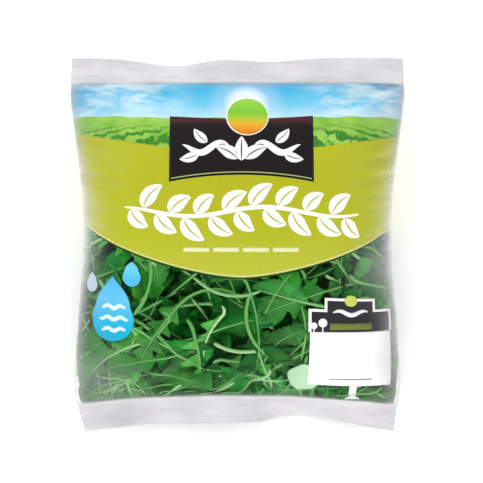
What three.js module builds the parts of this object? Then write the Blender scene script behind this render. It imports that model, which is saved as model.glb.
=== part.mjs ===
// A sealed pillow bag of loose salad leaves, lying on its back with the printed front up.
// Millimetres, +Z up. X runs across the bag and Y along it, from the bottom seal to the top seal.
// The origin is on the table, under the middle of the bag.
//
// The bag is one closed body. A tube of clear film is welded flat at both ends, and the leaves and
// the air in it swell it between the two welds. Each cross-section is therefore a full crown above
// the side edges and a flattened belly below them, and the waist draws in where the bag is thickest.

import * as THREE from 'three';

// Film and seals.
const SEAL_THICKNESS = 0.8;
const RIBS_PER_SEAL = 5;
const RIB_HEIGHT = 0.5;

// Plan of the swollen body: nearly straight sides, drawn in to a waist and again at the bottom weld.
const BOTTOM_HALF_WIDTH = 93.8;
const TOP_HALF_WIDTH = 95.8;
const WAIST_DRAW_IN = 9;
const WAIST_PLACE = 0.57;
const WAIST_REACH = 0.5;
const WAIST_ROUNDING = 0.03;
const WAIST_POWER = 1.4;
const BOTTOM_TAPER = 2.4;
const BOTTOM_TAPER_REACH = 0.08;

// Height of the side edges from end to end, the crown above them and the belly below them.
const BOTTOM_SIDE_HEIGHT = 16.5;
const TOP_SIDE_HEIGHT = 24.5;
const CROWN_RISE = 30.3;
const BELLY_DROP = 27;
const BOTTOM_SWELL_POWER = 0.66;
const TOP_SWELL_POWER = 0.79;
const SECTION_POWER = 2.1;

// The welded ends. Each weld's inner edge is bowed in plan, stands off the table, droops to its
// corners and waves up and down; beyond it the weld hangs down steeply in places.
const TOP_SEAL = {
  length: 14,
  tipHalfWidth: 94.8,
  edgeY: 92.6,
  bow: 0,
  bowCentre: 0,
  lean: 0,
  height: 26,
  droop: 7,
  waves: [[1.5, 1.0, 0.3], [0.8, 2.3, 0.1]],
  hangs: [[0.8, -0.4, 0.28], [0.5, 0.2, 0.3]],
};
const BOTTOM_SEAL = {
  length: 15.5,
  tipHalfWidth: 87.2,
  edgeY: -84.93,
  bow: -6,
  bowCentre: -0.1,
  lean: 0.8,
  height: 20,
  droop: 13,
  waves: [[4.6, 1.15, 0.12], [2.2, 2.1, -0.2]],
  hangs: [[0.78, 0.5, 0.38]],
};
const SEAL_BOW_POWER = 1.8;
const SEAL_SHAPE_REACH = 0.3;

// Soft puckers that run from the welds into the swollen body.
const TOP_PUCKER = { depth: 0.8, count: 3.2, phase: 0.4, reach: 0.09 };
const BOTTOM_PUCKER = { depth: 1.6, count: 2.7, phase: 1.1, reach: 0.11 };

// Fineness of the mesh.
const COLUMNS = 44;
const BODY_ROWS = 28;
const ROWS_PER_RIB = 2;

const TAU = 2 * Math.PI;
const lerp = THREE.MathUtils.lerp;

// Height of a weld at a place across it, from -1 at the left corner to 1 at the right corner.
function sealHeight(seal, across) {
  let height = seal.height - seal.droop * across * across;
  for (const [size, turns, shift] of seal.waves) {
    height += size * Math.cos(TAU * (turns * across + shift));
  }
  return height;
}

// Y of a weld's inner edge.
function sealEdgeY(seal, across) {
  return seal.edgeY + seal.bow * Math.abs(across - seal.bowCentre) ** SEAL_BOW_POWER + seal.lean * across;
}

// How steeply a weld hangs down from its inner edge, in radians.
function sealHang(seal, across) {
  let hang = 0;
  for (const [angle, place, width] of seal.hangs) {
    hang += angle * Math.exp(-(((across - place) / width) ** 2));
  }
  return hang;
}

// Half the width of the body, from 0 at the bottom weld to 1 at the top weld.
function halfWidth(along) {
  const fromWaist = Math.hypot(along - WAIST_PLACE, WAIST_ROUNDING) - WAIST_ROUNDING;
  const waist = Math.max(0, 1 - fromWaist / WAIST_REACH) ** WAIST_POWER;
  const taper = Math.max(0, 1 - along / BOTTOM_TAPER_REACH) ** 2;
  const straight = lerp(BOTTOM_HALF_WIDTH, TOP_HALF_WIDTH, along);
  return straight - WAIST_DRAW_IN * waist - BOTTOM_TAPER * taper;
}

// Y of the swollen body, which starts and ends at the inner edges of the welds.
function bodyY(along, across) {
  return lerp(sealEdgeY(BOTTOM_SEAL, across), sealEdgeY(TOP_SEAL, across), along);
}

// The surface half way between front and back: the shape of each weld fades towards the middle.
function middleHeight(along, across) {
  const side = lerp(BOTTOM_SIDE_HEIGHT, TOP_SIDE_HEIGHT, along);
  const nearBottom = Math.max(0, 1 - along / SEAL_SHAPE_REACH) ** 2;
  const nearTop = Math.max(0, 1 - (1 - along) / SEAL_SHAPE_REACH) ** 2;
  const bottomStep = nearBottom * (sealHeight(BOTTOM_SEAL, across) - side);
  const topStep = nearTop * (sealHeight(TOP_SEAL, across) - side);
  return side + bottomStep + topStep;
}

// One end's puckers: nothing at the weld itself, deepest a little way in, then dying out.
function pucker(ending, fromWeld, across) {
  const distance = fromWeld / ending.reach;
  const fade = distance * Math.exp(1 - distance);
  return ending.depth * fade * Math.cos(TAU * ending.count * across + ending.phase);
}

// How far the film swells at a place: nothing at the welds and at the side edges.
function swell(along, crosswise) {
  const lengthwise = Math.sin(Math.PI * along) ** lerp(BOTTOM_SWELL_POWER, TOP_SWELL_POWER, along);
  const sideways = Math.sqrt(Math.max(0, 1 - Math.abs(crosswise) ** SECTION_POWER));
  return lengthwise * sideways;
}

// A point of the swollen body on its front (side 1) or its back (side -1).
function bodyPoint(along, across, side) {
  const crosswise = lerp(across, Math.sin(across * Math.PI / 2), Math.sin(Math.PI * along));
  const x = crosswise * halfWidth(along);
  const y = bodyY(along, across);
  const swelling = swell(along, crosswise);
  const folds = pucker(BOTTOM_PUCKER, along, across) + pucker(TOP_PUCKER, 1 - along, across);
  const reach = side > 0 ? CROWN_RISE : BELLY_DROP;
  const fullness = Math.min(1, 2 * swelling);
  const z = middleHeight(along, across) + side * (reach * swelling + SEAL_THICKNESS / 2) + folds * fullness;
  return [x, y, Math.max(0, z)];
}

// A point of a welded end: depth is 0 at the body and 1 at the cut edge.
function sealPoint(isTop, depth, across, side) {
  const seal = isTop ? TOP_SEAL : BOTTOM_SEAL;
  const hang = sealHang(seal, across);
  const reach = depth * seal.length;
  const x = across * lerp(halfWidth(isTop ? 1 : 0), seal.tipHalfWidth, depth);
  const y = sealEdgeY(seal, across) + (isTop ? 1 : -1) * reach * Math.cos(hang);
  const ripple = RIB_HEIGHT * (Math.cos(TAU * RIBS_PER_SEAL * depth) - 1) / 2;
  const z = sealHeight(seal, across) - reach * Math.sin(hang) + ripple + side * SEAL_THICKNESS / 2;
  return [x, y, z];
}

// One closed ring of points round the bag: along the front, then back along the back.
function ring(pointAt) {
  const points = [];
  for (let column = 0; column <= COLUMNS; column += 1) {
    points.push(pointAt(2 * column / COLUMNS - 1, 1));
  }
  for (let column = COLUMNS; column >= 0; column -= 1) {
    points.push(pointAt(2 * column / COLUMNS - 1, -1));
  }
  return points;
}

// All rings from the bottom edge to the top edge. The body's rings crowd towards the welds.
function bagRings() {
  const rings = [];
  const sealRows = RIBS_PER_SEAL * ROWS_PER_RIB;
  for (let row = 0; row < sealRows; row += 1) {
    rings.push(ring((across, side) => sealPoint(false, 1 - row / sealRows, across, side)));
  }
  for (let row = 0; row <= BODY_ROWS; row += 1) {
    const step = row / BODY_ROWS;
    const along = (1 - Math.cos(Math.PI * step)) / 2;
    rings.push(ring((across, side) => bodyPoint(along, across, side)));
  }
  for (let row = 1; row <= sealRows; row += 1) {
    rings.push(ring((across, side) => sealPoint(true, row / sealRows, across, side)));
  }
  return rings;
}

// Joins the rings into one closed surface with its faces outwards.
function bagGeometry() {
  const rings = bagRings();
  const perRing = rings[0].length;
  const faces = [];
  const quad = (a, b, c, d) => faces.push(a, b, c, a, c, d);
  for (let row = 0; row + 1 < rings.length; row += 1) {
    for (let place = 0; place < perRing; place += 1) {
      const next = (place + 1) % perRing;
      const low = row * perRing;
      const high = low + perRing;
      quad(low + place, low + next, high + next, high + place);
    }
  }
  const last = (rings.length - 1) * perRing;
  for (let column = 0; column < COLUMNS; column += 1) {
    const opposite = perRing - 1 - column;
    quad(column + 1, column, opposite, opposite - 1);
    quad(last + column, last + column + 1, last + opposite - 1, last + opposite);
  }
  const geometry = new THREE.BufferGeometry();
  geometry.setAttribute('position', new THREE.Float32BufferAttribute(rings.flat(2), 3));
  geometry.setIndex(faces);
  geometry.computeVertexNormals();
  return geometry;
}

const film = new THREE.MeshStandardMaterial({ color: 0x6f9c4c, roughness: 0.25, metalness: 0 });
const bag = new THREE.Mesh(bagGeometry(), film);
bag.name = 'salad_bag';

const salad = new THREE.Group();
salad.add(bag);

export default salad;
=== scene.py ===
"""A sealed bag of salad leaves, lying on its back: clear film, printed front, loose leaves inside.

The film starts as a flat welded tube and is relaxed to a swollen bag. The print and the leaves are
laid out flat on that tube, in u round it and v along it, and carried onto the relaxed film.
"""
import math
from functools import partial, partialmethod

import bpy
import numpy as np
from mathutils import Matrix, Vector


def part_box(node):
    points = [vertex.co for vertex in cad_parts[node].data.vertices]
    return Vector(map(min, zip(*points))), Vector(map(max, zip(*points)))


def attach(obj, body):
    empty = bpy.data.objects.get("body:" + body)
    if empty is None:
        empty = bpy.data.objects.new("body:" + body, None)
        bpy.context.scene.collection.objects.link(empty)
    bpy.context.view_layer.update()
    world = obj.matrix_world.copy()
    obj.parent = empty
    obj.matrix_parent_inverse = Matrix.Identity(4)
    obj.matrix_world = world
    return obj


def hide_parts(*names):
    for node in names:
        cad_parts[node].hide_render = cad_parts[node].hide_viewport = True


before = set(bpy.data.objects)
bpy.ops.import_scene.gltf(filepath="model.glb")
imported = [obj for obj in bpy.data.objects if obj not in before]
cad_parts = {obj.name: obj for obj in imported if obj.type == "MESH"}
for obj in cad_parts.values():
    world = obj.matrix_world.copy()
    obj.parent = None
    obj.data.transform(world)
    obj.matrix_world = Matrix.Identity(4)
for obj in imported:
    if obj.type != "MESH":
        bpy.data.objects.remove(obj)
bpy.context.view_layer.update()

bag_low, bag_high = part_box("salad_bag")

MM = 0.001

# The flat film tube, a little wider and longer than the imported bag, whose ends wave and bow.
FLAT_WIDTH = 1.0119 * (bag_high.x - bag_low.x)
FLAT_LENGTH = 1.0413 * (bag_high.y - bag_low.y)
HALF_WIDTH = FLAT_WIDTH / 2
HALF_LENGTH = FLAT_LENGTH / 2
TOP_SEAL = 14 * MM
BOTTOM_SEAL = 15 * MM
BODY_LOW = -HALF_LENGTH + BOTTOM_SEAL
BODY_HIGH = HALF_LENGTH - TOP_SEAL
SEAL_LEVEL = 24 * MM
BAG_VOLUME = 0.95e-3


# ---- The film: a grid of rows along the bag and columns round it, relaxed level by level ----
# Columns 0 to half run across the front, and the rest run back across the back.

# The welds, in mm: way out and y of the inner edge, its inset, bow and lean in plan, its rise, droop
# and waves (height, turns, shift), and how it hangs (radians, place and reach in half widths).
TOP_WELD = {
    "way": 1, "y": 92.6, "inset": 0, "bow": 0, "lean": 0, "rise": 2, "droop": 7,
    "waves": ((1.8, 1, 0.3), (1, 2.3, 0.1)), "hangs": ((0.8, -0.4, 0.28), (0.5, 0.2, 0.3)),
}
BOTTOM_WELD = {
    "way": -1, "y": -90, "inset": 5.7, "bow": 6, "lean": 0.8, "rise": -4, "droop": 13,
    "waves": ((5.8, 1.15, 0.12), (2.8, 2.1, -0.2)), "hangs": ((0.78, 0.5, 0.38),),
}
BOW_CENTRE = -0.1
BOW_POWER = 1.8
WELD_LINE_STEPS = 400
LEAST_WAVINESS = 0.6  # at a weld's inner edge, and 1 at its cut edge
BOTTOM_FLARE = 0.02
BOTTOM_LEAN = 1.5 * MM

# Steps, push per step and bending of each level, which has twice the last one's rows and columns.
FILM_LEVELS = ((500, 2.5e-4, 0.015), (300, 8e-5, 0.0225), (160, 3e-5, 0.03))
FILM_ROWS = 28
FILM_COLUMNS = 48
FILM_SWEEPS = 5
FILM_SQUEEZE = 0.85
FILM_SHEAR = 0.25
FILM_DAMPING = 0.98
TABLE_DRAG = (0.9, 0.9, 0.5)
FOLD_STIFFNESS = 0.3
FIRST_ROUGHNESS = 0.4 * MM
LATER_ROUGHNESS = 0.1 * MM
FIRST_PARTING = 4 * MM
VOLUME_SLACK = 0.04
FULLEST_Y = 9 * MM
FULL_REACH = 55 * MM
PRESS_AT_ENDS = 0.1
CONTENTS_PRESS = 0.03
CONTENTS_HEIGHT = 0.06
SEAL_HOLD = 0.1
REST_HEIGHT = 0.45 * MM
OPENING_SLOPE = 0.3
LEAST_OPENING = 0.6 * MM
FOLD_TAPER = 12 * MM


def hump(s, place, width):
    return np.exp(-(((s - place) / width) ** 2))


def unit(vectors):
    return vectors / (np.linalg.norm(vectors, axis=-1, keepdims=True) + 1e-15)


def from_weld(v):
    """How far places along the bag are from the nearer weld, negative on the weld itself."""
    return np.minimum(v - BODY_LOW, BODY_HIGH - v)


def weld_line(columns, weld, waviness):
    """A line along a weld, of the film's own length: x, y, z and how steeply it hangs, by column."""
    s = np.linspace(-1, 1, WELD_LINE_STEPS + 1)
    bowed = np.abs(s - BOW_CENTRE) ** BOW_POWER
    y = MM * weld["y"] + MM * (weld["inset"] - weld["bow"] * bowed + weld["lean"] * s)
    waves = sum(height * np.cos(math.tau * (turns * s + shift)) for height, turns, shift in weld["waves"])
    z = SEAL_LEVEL + MM * (weld["rise"] - weld["droop"] * s**2 + waviness * waves)
    hang = sum(steepness * hump(s, place, width) for steepness, place, width in weld["hangs"])
    run = np.sqrt(np.maximum((FLAT_WIDTH / WELD_LINE_STEPS) ** 2 - np.diff(z) ** 2, 0))
    x = np.concatenate([[0], np.cumsum(run)])
    x -= x[-1] / 2
    across = np.linspace(-1, 1, columns // 2 + 1)
    front = [np.interp(across, s, line) for line in (x, y, z, hang)]
    return [np.concatenate([line, line[-2:0:-1]]) for line in front]


def weld_places(rows, columns, dv, weld):
    """Where every point of a weld is drawn to."""
    places = np.empty((rows, columns, 3))
    for row in range(rows):
        out = row if weld is TOP_WELD else rows - 1 - row
        waviness = LEAST_WAVINESS + (1 - LEAST_WAVINESS) * out / (rows - 1)
        x, y, z, hang = weld_line(columns, weld, waviness)
        places[row, :, 0] = x
        places[row, :, 1] = y + weld["way"] * out * dv * np.cos(hang)
        places[row, :, 2] = z - out * dv * np.sin(hang)
    return places


def flat_tube(rows, columns):
    """The tube before it swells: flat, a little parted in the middle."""
    s = np.arange(columns) / (columns // 2)
    x = np.where(s <= 1, -HALF_WIDTH + FLAT_WIDTH * s, HALF_WIDTH - FLAT_WIDTH * (s - 1))
    side = np.where(s <= 1, 1, -1)
    y = np.linspace(-HALF_LENGTH, HALF_LENGTH, rows + 1)
    grid = np.zeros((rows + 1, columns, 3))
    grid[..., 0] = x[None]
    grid[..., 1] = y[:, None]
    across = FIRST_PARTING * np.cos(math.pi * x / FLAT_WIDTH)[None]
    grid[..., 2] = SEAL_LEVEL + across * np.cos(math.pi * y / FLAT_LENGTH)[:, None] * side[None]
    return grid


def volume(grid):
    """Volume inside a tube of points."""
    beside = np.roll(grid, -1, 1)
    a, b, c, d = grid[:-1], beside[:-1], beside[1:], grid[1:]
    halves = np.cross(b, c) + np.cross(c, d)
    return np.einsum("ijk,ijk->", a, halves) / 6


def film_pull(a, b, length, share=0.5):
    """How far a moves towards b to bring the pair to its length."""
    gap = b - a
    now = np.sqrt(np.einsum("ijk,ijk->ij", gap, gap))[..., None] + 1e-12
    excess = (now - length) / now
    return np.where(excess > 0, share, share * FILM_SQUEEZE) * excess * gap


def keep_lengths(grid, du, dv):
    """One sweep that keeps the film from stretching round it, along it and across its squares."""
    even = np.arange(0, grid.shape[1], 2)
    odd = even + 1
    after = (odd + 1) % grid.shape[1]
    for first, second in ((even, odd), (odd, after)):
        move = film_pull(grid[:, first], grid[:, second], du)
        grid[:, first] += move
        grid[:, second] -= move
    for start in (0, 1):
        low, high = grid[start:-1:2], grid[start + 1::2]
        move = film_pull(low, high, dv)
        low += move
        high -= move
        for side in (1, -1):
            move = film_pull(low, np.roll(high, -side, 1), math.hypot(du, dv), FILM_SHEAR)
            low += move
            high -= np.roll(move, side, 1)


def opposites(columns):
    """The column that lies opposite each column of the tube."""
    return (-np.arange(columns)) % columns


def relax_film(grid, steps, push, bending):
    """Swells the tube to the bag's volume on the table, with both ends welded."""
    grid = grid.copy()
    rows, columns = grid.shape[0], grid.shape[1]
    du = 2 * FLAT_WIDTH / columns
    dv = FLAT_LENGTH / (rows - 1)
    bottom = slice(0, round(BOTTOM_SEAL / dv) + 1)
    top = slice(rows - round(TOP_SEAL / dv) - 1, rows)
    ends = [(end, weld_places(len(grid[end]), columns, dv, weld))
            for end, weld in ((bottom, BOTTOM_WELD), (top, TOP_WELD))]
    open_rows = np.ones((rows, 1))
    open_rows[bottom] = open_rows[top] = 0
    opposite = opposites(columns)
    stiffness = np.ones((rows, columns, 1))
    stiffness[:, [0, columns // 2]] = FOLD_STIFFNESS * open_rows[..., None]
    speed = np.zeros_like(grid)
    for _ in range(steps):
        across = (np.roll(grid, -1, 1) - np.roll(grid, 1, 1)) / (2 * du)
        area = np.cross(across, np.gradient(grid, dv, axis=0))
        short = np.clip((BAG_VOLUME - volume(grid)) / (VOLUME_SLACK * BAG_VOLUME), -1, 1)
        height = grid[..., 2]
        fullness = PRESS_AT_ENDS + hump(grid[..., 1], FULLEST_Y, FULL_REACH)
        press = short * fullness + CONTENTS_PRESS * (height.max() - height) / CONTENTS_HEIGHT
        speed = FILM_DAMPING * speed + push * area * (press * open_rows)[..., None]
        speed[height <= REST_HEIGHT] *= TABLE_DRAG
        moved = grid + speed
        for _ in range(FILM_SWEEPS):
            keep_lengths(moved, du, dv)
            bend = stiffness * (0.5 * (np.roll(moved, 1, 1) + np.roll(moved, -1, 1)) - moved)
            bend[1:-1] += 0.5 * (moved[2:] + moved[:-2]) - moved[1:-1]
            moved += bending * bend
            welded = (moved + moved[:, opposite]) / 2
            for end, places in ends:
                moved[end] = welded[end] + SEAL_HOLD * (places - welded[end])
            moved[..., 2] = np.maximum(moved[..., 2], REST_HEIGHT)
        moved[..., 0] -= moved[..., 0].mean()
        speed = moved - grid
        grid = moved
    return grid


def finer(grid):
    """The film with twice the rows and columns, on smooth curves through the old ones."""
    before, after, later = np.roll(grid, 1, 1), np.roll(grid, -1, 1), np.roll(grid, -2, 1)
    wide = np.repeat(grid, 2, axis=1)
    wide[:, 1::2] = (9 * (grid + after) - before - later) / 16
    tall = np.zeros((2 * len(grid) - 1, wide.shape[1], 3))
    tall[::2] = wide
    between = (wide[1:] + wide[:-1]) / 2
    between[1:-1] = (9 * (wide[1:-2] + wide[2:-1]) - wide[:-3] - wide[3:]) / 16
    tall[1::2] = between
    return tall


def half_gap(grid):
    """Half the way from each point to the one opposite it, along the middle surface's normals."""
    opposite = opposites(grid.shape[1])
    middle = (grid + grid[:, opposite]) / 2
    across = np.roll(middle, -1, 1) - np.roll(middle, 1, 1)
    normal = unit(np.cross(across, np.gradient(middle, axis=0)))
    return np.einsum("ijk,ijk->ij", (grid - grid[:, opposite]) / 2, normal), normal


def rows_along(grid):
    """v of each row of a grid of the film."""
    return np.linspace(-HALF_LENGTH, HALF_LENGTH, len(grid))[:, None]


def parted(grid):
    """The film with its front kept off its back, which it would cross beside the welds."""
    turns = 2 * np.arange(grid.shape[1]) / grid.shape[1]
    aside = np.clip(np.abs(turns - np.round(turns)) * FLAT_WIDTH / FOLD_TAPER, 0, 1)
    opening = np.clip(OPENING_SLOPE * from_weld(rows_along(grid)), 0, LEAST_OPENING) * aside
    gap, normal = half_gap(grid)
    return grid + np.maximum(opening - gap, 0)[..., None] * normal


def make_film():
    """The relaxed film. Its bottom cut edge flares a little and leans to the right."""
    rng = np.random.default_rng(4)
    grid = flat_tube(FILM_ROWS, FILM_COLUMNS)
    grid += rng.normal(0, FIRST_ROUGHNESS, grid.shape)
    for level, (steps, push, bending) in enumerate(FILM_LEVELS):
        if level:
            grid = finer(grid)
            grid += rng.normal(0, LATER_ROUGHNESS, grid.shape)
        grid = relax_film(grid, steps, push, bending)
    grid = parted(grid)
    beyond = np.clip((BODY_LOW - rows_along(grid)) / BOTTOM_SEAL, 0, 1) ** 1.5
    grid[..., 0] += beyond * (BOTTOM_FLARE * grid[..., 0] + BOTTOM_LEAN)
    return grid


def round_film(columns):
    """u of evenly spaced columns right round the film."""
    return (-HALF_WIDTH + 2 * FLAT_WIDTH * np.arange(columns) / columns)[None]


class Film:
    """The relaxed film as a smooth surface: points and normals at any u round it and v along it."""

    def __init__(self, grid):
        first = 2 * grid[:1] - grid[1:2]
        last = 2 * grid[-1:] - grid[-2:-1]
        self.grid = np.concatenate([first, grid, last])
        self.rows = len(grid) - 1
        self.columns = grid.shape[1]
        self.thickness = 2 * np.maximum(half_gap(grid)[0], 0)

    def cell(self, u, v):
        """Row and column of the square that each place is in, and how far on in it."""
        column = (u + HALF_WIDTH) * self.columns / (2 * FLAT_WIDTH)
        row = np.clip((v + HALF_LENGTH) * self.rows / FLAT_LENGTH, 0, self.rows - 1e-9)
        i, j = np.floor(row).astype(int), np.floor(column).astype(int)
        return i, j, row - i, column - j

    def room(self, u, v):
        """How thick the bag is at u round it and v along it."""
        i, j, up, _ = self.cell(*np.broadcast_arrays(u, v))
        low = self.thickness[i, j % self.columns]
        high = self.thickness[i + 1, j % self.columns]
        return low + (high - low) * up

    @staticmethod
    def weights(t):
        """Weights of four points in a row on a smooth curve between them, and their slopes."""
        value = ((1 - t) ** 3 / 6, (3 * t**3 - 6 * t**2 + 4) / 6,
                 (-3 * t**3 + 3 * t**2 + 3 * t + 1) / 6, t**3 / 6)
        slope = (-((1 - t) ** 2) / 2, (3 * t**2 - 4 * t) / 2, (-3 * t**2 + 2 * t + 1) / 2, t**2 / 2)
        return value, slope

    def surface(self, u, v):
        """Points on the film and its outward normals."""
        u, v = np.broadcast_arrays(np.asarray(u, float), np.asarray(v, float))
        i, j, up, on = self.cell(u, v)
        wu, su = self.weights(on)
        wv, sv = self.weights(up)
        point, across, along = np.zeros((3, *u.shape, 3))
        for a in range(4):
            for b in range(4):
                corner = self.grid[i + a, (j + b - 1) % self.columns]
                point += (wv[a] * wu[b])[..., None] * corner
                across += (wv[a] * su[b])[..., None] * corner
                along += (sv[a] * wu[b])[..., None] * corner
        return point, unit(np.cross(across, along))

    def inside(self, u, v, depth):
        """Points at a depth inside the film."""
        point, normal = self.surface(u, v)
        return point - np.asarray(depth)[..., None] * normal


film = Film(make_film())


# ---- Meshes ----

class Soup:
    """Points and quads of one piece, gathered from many parts, with named values at the points."""

    def __init__(self):
        self.points, self.quads, self.values, self.count = [], [], {}, 0

    def add(self, points, quads, **values):
        """Adds a grid of points, their quads, and values on the grid or for all of it."""
        self.points.append(points.reshape(-1, 3))
        self.quads.append(quads + self.count)
        for name, value in values.items():
            self.values.setdefault(name, []).append(np.broadcast_to(value, points.shape[:-1]).ravel())
        self.count += points.size // 3

    def add_shell(self, outer, inner, **values):
        """Adds a thin closed shell between two grids of points."""
        self.add(np.stack([outer, inner]), shell_quads(*outer.shape[:2]), **values)

    def build(self, name, material, slot="film"):
        points = np.concatenate(self.points)
        quads = np.concatenate(self.quads)
        mesh = bpy.data.meshes.new(name)
        mesh.vertices.add(len(points))
        mesh.vertices.foreach_set("co", points.astype(np.float32).ravel())
        mesh.loops.add(quads.size)
        mesh.loops.foreach_set("vertex_index", quads.ravel().astype(np.int32))
        mesh.polygons.add(len(quads))
        mesh.polygons.foreach_set("loop_start", np.arange(0, quads.size, 4, dtype=np.int32))
        mesh.polygons.foreach_set("use_smooth", np.ones(len(quads), bool))
        for key, value in self.values.items():
            attribute = mesh.attributes.new(key, "FLOAT", "POINT")
            attribute.data.foreach_set("value", np.concatenate(value).astype(np.float32))
        mesh.update(calc_edges=True)
        mesh.validate()
        mesh.materials.append(material)
        piece = bpy.data.objects.new(name, mesh)
        bpy.context.scene.collection.objects.link(piece)
        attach(piece, "root")
        return piece


def grid_quads(rows, columns):
    """Quads of an open grid of points, rows by columns."""
    corner = (np.arange(rows - 1)[:, None] * columns + np.arange(columns - 1)).ravel()
    return np.stack([corner, corner + 1, corner + columns + 1, corner + columns], 1)


def shell_quads(rows, columns):
    """Quads of a closed shell: an outer grid, then an inner grid, joined round their rim."""
    outer = grid_quads(rows, columns)
    shift = rows * columns
    index = np.arange(shift).reshape(rows, columns)
    rim = np.concatenate([index[0, :-1], index[:-1, -1], index[-1, :0:-1], index[:0:-1, 0]])
    after = np.roll(rim, -1)
    wall = np.stack([after, rim, rim + shift, after + shift], 1)
    return np.concatenate([outer, outer[:, ::-1] + shift, wall])


def tube_quads(rows, columns):
    """Quads of an open tube of points, one closed ring a row."""
    start = np.arange((rows - 1) * columns).reshape(rows - 1, columns)
    beside = np.roll(start, -1, 1)
    return np.stack([start, beside, beside + columns, start + columns], -1).reshape(-1, 4)


def end_quads(rows, columns, twin):
    """Quads that close a tube's ends, each column k joined to column -k - twin opposite it."""
    k = np.arange(1 - twin, columns // 2 - 1)
    cap = np.stack([k, k + 1, -k - 1 - twin, -k - twin], 1) % columns
    return np.concatenate([cap[:, ::-1], cap + (rows - 1) * columns])


def pouch_quads(rows, columns):
    return np.concatenate([tube_quads(rows, columns), end_quads(rows, columns, 0)])


# ---- Materials. Colours are sRGB from 0 to 255, and one number is a grey ----

WHITE = (1.0, 1.0, 1.0, 1.0)


def linear(colour):
    """An sRGB colour from 0 to 255 as linear RGBA."""
    c = np.broadcast_to(np.asarray(colour, float) / 255, 3)
    return (*np.where(c <= 0.04045, c / 12.92, ((c + 0.055) / 1.055) ** 2.4), 1.0)


class Nodes:
    """Makes and links the nodes of one new material."""

    def __init__(self, name):
        self.material = bpy.data.materials.new(name)
        self.material.use_nodes = True
        self.tree = self.material.node_tree
        self.tree.nodes.clear()
        self.output = self.tree.nodes.new("ShaderNodeOutputMaterial")

    def fill(self, socket, value):
        """Links a socket to a node's input, or sets the input to a plain value."""
        if isinstance(value, bpy.types.NodeSocket):
            self.tree.links.new(value, socket)
        else:
            socket.default_value = value

    def add(self, kind, inputs=None, **settings):
        node = self.tree.nodes.new("ShaderNode" + kind)
        for key, value in settings.items():
            setattr(node, key, value)
        for key, value in (inputs or {}).items():
            self.fill(node.inputs[key], value)
        return node

    def shader(self, kind, inputs):
        return self.add(kind, inputs).outputs[0]

    def value(self, name):
        return self.add("Attribute", attribute_name=name).outputs["Fac"]

    def flat(self, squash=None):
        """The place on the flat film, in metres, as a texture vector, squashed across if asked."""
        u = self.times(self.value("u"), squash) if squash else self.value("u")
        return self.add("CombineXYZ", {0: u, 1: self.value("v")}).outputs[0]

    def solid(self):
        """The place in space, in metres, as a texture vector."""
        return self.add("TexCoord").outputs["Object"]

    def facing(self, **inputs):
        """0 where the surface faces the viewer, 1 at a slant."""
        return self.add("LayerWeight", {"Blend": 0.5, **inputs}).outputs["Facing"]

    def height(self, low, reach):
        """The share from 0 to 1 of the way along the bag from low over a reach, both in mm."""
        return self.over(self.minus(self.value("v"), low * MM), reach * MM, clamp=True)

    def math(self, operation, a, b=0.0, clamp=False):
        return self.add("Math", {0: a, 1: b}, operation=operation, use_clamp=clamp).outputs[0]

    plus = partialmethod(math, "ADD")
    minus = partialmethod(math, "SUBTRACT")
    times = partialmethod(math, "MULTIPLY")
    over = partialmethod(math, "DIVIDE")
    power = partialmethod(math, "POWER")
    size = partialmethod(math, "ABSOLUTE")

    def ramp(self, factor, stops, ease="LINEAR"):
        node = self.add("ValToRGB", {"Fac": factor})
        ramp = node.color_ramp
        ramp.interpolation = ease
        while len(ramp.elements) < len(stops):
            ramp.elements.new(0.5)
        for element, (place, colour) in zip(ramp.elements, stops):
            element.position = place
            element.color = linear(colour)
        return node.outputs["Color"]

    def mix(self, factor, a, b, blend="MIX"):
        node = self.add("Mix", {0: factor}, data_type="RGBA", blend_type=blend)
        for key, value in ((6, a), (7, b)):
            self.fill(node.inputs[key], value if isinstance(value, bpy.types.NodeSocket) else linear(value))
        return node.outputs[2]

    def noise(self, vector, scale, detail, roughness=0.5, warp=0.0):
        node = self.add("TexNoise", {"Vector": vector, "Scale": scale, "Detail": detail,
                                     "Roughness": roughness, "Distortion": warp})
        return node.outputs["Fac"]

    def bump(self, height, distance, strength):
        settings = {"Height": height, "Distance": distance, "Strength": strength}
        return self.add("Bump", settings).outputs["Normal"]

    def finish(self, shader):
        self.fill(self.output.inputs["Surface"], shader)
        return self.material

    def satin(self, colour, roughness, specular, normal):
        """Finishes the material as a satin surface."""
        return self.finish(self.shader("BsdfPrincipled", {
            "Base Color": colour, "Roughness": roughness, "Specular IOR Level": specular, "Normal": normal}))


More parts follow.
